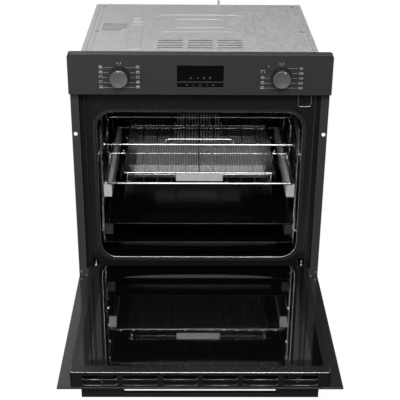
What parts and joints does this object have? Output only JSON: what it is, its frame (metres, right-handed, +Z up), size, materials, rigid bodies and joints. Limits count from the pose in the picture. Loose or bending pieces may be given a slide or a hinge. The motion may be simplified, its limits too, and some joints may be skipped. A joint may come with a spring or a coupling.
{
  "type": "wall oven",
  "caption": "Built-in oven with drop-down glass door, knobs and clock, wire racks, mesh basket and trays on telescopic rails.",
  "frame": {"origin": "middle of the base's front edge, on the resting face and in the front plane of the fixing flange", "axes": "+X to the right seen from the front, +Y back into the niche, +Z up"},
  "size_m": [0.595, 1.0085, 0.6177],
  "materials": {
    "black_enamel": "glossy vitreous enamel",
    "black_steel": "satin anthracite coated steel",
    "frame_enamel": "semi-gloss black enamel",
    "galvanised": "spangled zinc",
    "zinc": "bright zinc plated",
    "chrome_wire": "bright",
    "stainless": "brushed",
    "black_glass": "black printed, polished",
    "door_glass": "tinted, reflective",
    "lamp_glass": "frosted",
    "knob_plastic": "satin",
    "dark_plastic": "moulded",
    "board": "laminate",
    "seal_rubber": "matt",
    "wool": "mineral wool",
    "element_steel": "oxidised",
    "aluminium_part": "cast",
    "white_ceramic": "glazed"
  },
  "bodies": {
    "chassis": {"front_frame": "frame_enamel", "control_panel": "black_steel", "display_glass": "black_glass", "timer_module": "board", "knob_collars": "dark_plastic", "function_selector": "dark_plastic", "thermostat": "zinc", "corner_brackets": "frame_enamel", "latch_plate": "frame_enamel", "door_seal": "seal_rubber", "cavity_liner": "black_enamel", "insulation": "wool", "left_side_panel": "galvanised", "right_side_panel": "galvanised", "top_cover": "galvanised", "base_pan": "galvanised", "rear_panel": "galvanised", "terminal_box": "dark_plastic", "cable_gland": "dark_plastic", "blower_housing": "galvanised", "blower_motor": "zinc", "fan_cover": "black_enamel", "fan_motor": "zinc", "ring_element": "element_steel", "grill_element": "element_steel", "lower_element": "element_steel", "oven_lamp": "white_ceramic", "lamp_lens": "lamp_glass", "side_ladders": "chrome_wire", "rail_channels": "zinc", "hinge_arms": "zinc", "hinge_boxes": "zinc", "hinge_springs": "zinc", "case_screws": "zinc"},
    "door": {"door_outer_glass": "black_glass", "door_middle_glass": "door_glass", "door_inner_glass": "door_glass", "door_frame": "black_steel", "glass_spacers": "dark_plastic", "door_top_cap": "black_steel", "door_handle": "black_steel", "handle_screws": "zinc", "hinge_channels": "zinc"},
    "selector_knob": {"left_knob": "knob_plastic", "selector_shaft": "zinc"},
    "thermostat_knob": {"right_knob": "knob_plastic", "thermostat_shaft": "zinc"},
    "fan_wheel": {"convection_fan": "aluminium_part"},
    "blower_wheel": {"blower_rotor": "aluminium_part"},
    "upper_shelf": {"upper_rack": "chrome_wire"},
    "lower_slides": {"rack_rail_slides": "zinc"},
    "lower_shelf": {"lower_rack": "chrome_wire", "rack_rail_runners": "stainless"},
    "air_fry_basket": {"basket_frame": "chrome_wire", "basket_mesh": "stainless", "basket_plate": "stainless"},
    "tray_slides": {"tray_rail_slides": "zinc"},
    "tray_shelf": {"shallow_tray": "black_enamel", "tray_rail_runners": "element_steel"},
    "deep_shelf": {"deep_tray": "black_enamel"}
  },
  "joints": [
    {"name": "door_hinge", "type": "hinge", "parent": "chassis", "child": "door", "pos_m": [0, -0.00365, 0.034], "axis": [-1, 0, 0], "range_deg": [0, 90]},
    {"name": "selector_turn", "type": "hinge", "parent": "chassis", "child": "selector_knob", "pos_m": [-0.1815, -0.03, 0.545], "axis": [0, 1, 0], "continuous": true},
    {"name": "thermostat_turn", "type": "hinge", "parent": "chassis", "child": "thermostat_knob", "pos_m": [0.1815, -0.03, 0.545], "axis": [0, 1, 0], "range_deg": [-22, 248]},
    {"name": "convection_fan_spin", "type": "hinge", "parent": "chassis", "child": "fan_wheel", "pos_m": [0, 0.43, 0.251], "axis": [0, 1, 0], "continuous": true},
    {"name": "cooling_blower_spin", "type": "hinge", "parent": "chassis", "child": "blower_wheel", "pos_m": [0, 0.33, 0.508], "axis": [1, 0, 0], "continuous": true},
    {"name": "upper_rack_slide", "type": "slide", "parent": "chassis", "child": "upper_shelf", "axis": [0, 1, 0], "range_m": [-0.25, 0]},
    {"name": "lower_rack_slide", "type": "slide", "parent": "chassis", "child": "lower_shelf", "axis": [0, 1, 0], "range_m": [-0.3, 0]},
    {"name": "lower_slides_follow", "type": "slide", "parent": "chassis", "child": "lower_slides", "axis": [0, 1, 0], "range_m": [-0.151, 0]},
    {"name": "basket_lift", "type": "slide", "parent": "lower_shelf", "child": "air_fry_basket", "axis": [0, 0, 1], "range_m": [0, 0.045]},
    {"name": "shallow_tray_slide", "type": "slide", "parent": "chassis", "child": "tray_shelf", "axis": [0, 1, 0], "range_m": [-0.3, 0]},
    {"name": "tray_slides_follow", "type": "slide", "parent": "chassis", "child": "tray_slides", "axis": [0, 1, 0], "range_m": [-0.151, 0]},
    {"name": "deep_tray_slide", "type": "slide", "parent": "chassis", "child": "deep_shelf", "axis": [0, 1, 0], "range_m": [-0.25, 0]}
  ],
  "couplings": [
    {"joint": "lower_slides_follow", "follows": "lower_rack_slide", "ratio": 0.5},
    {"joint": "tray_slides_follow", "follows": "shallow_tray_slide", "ratio": 0.5}
  ]
}
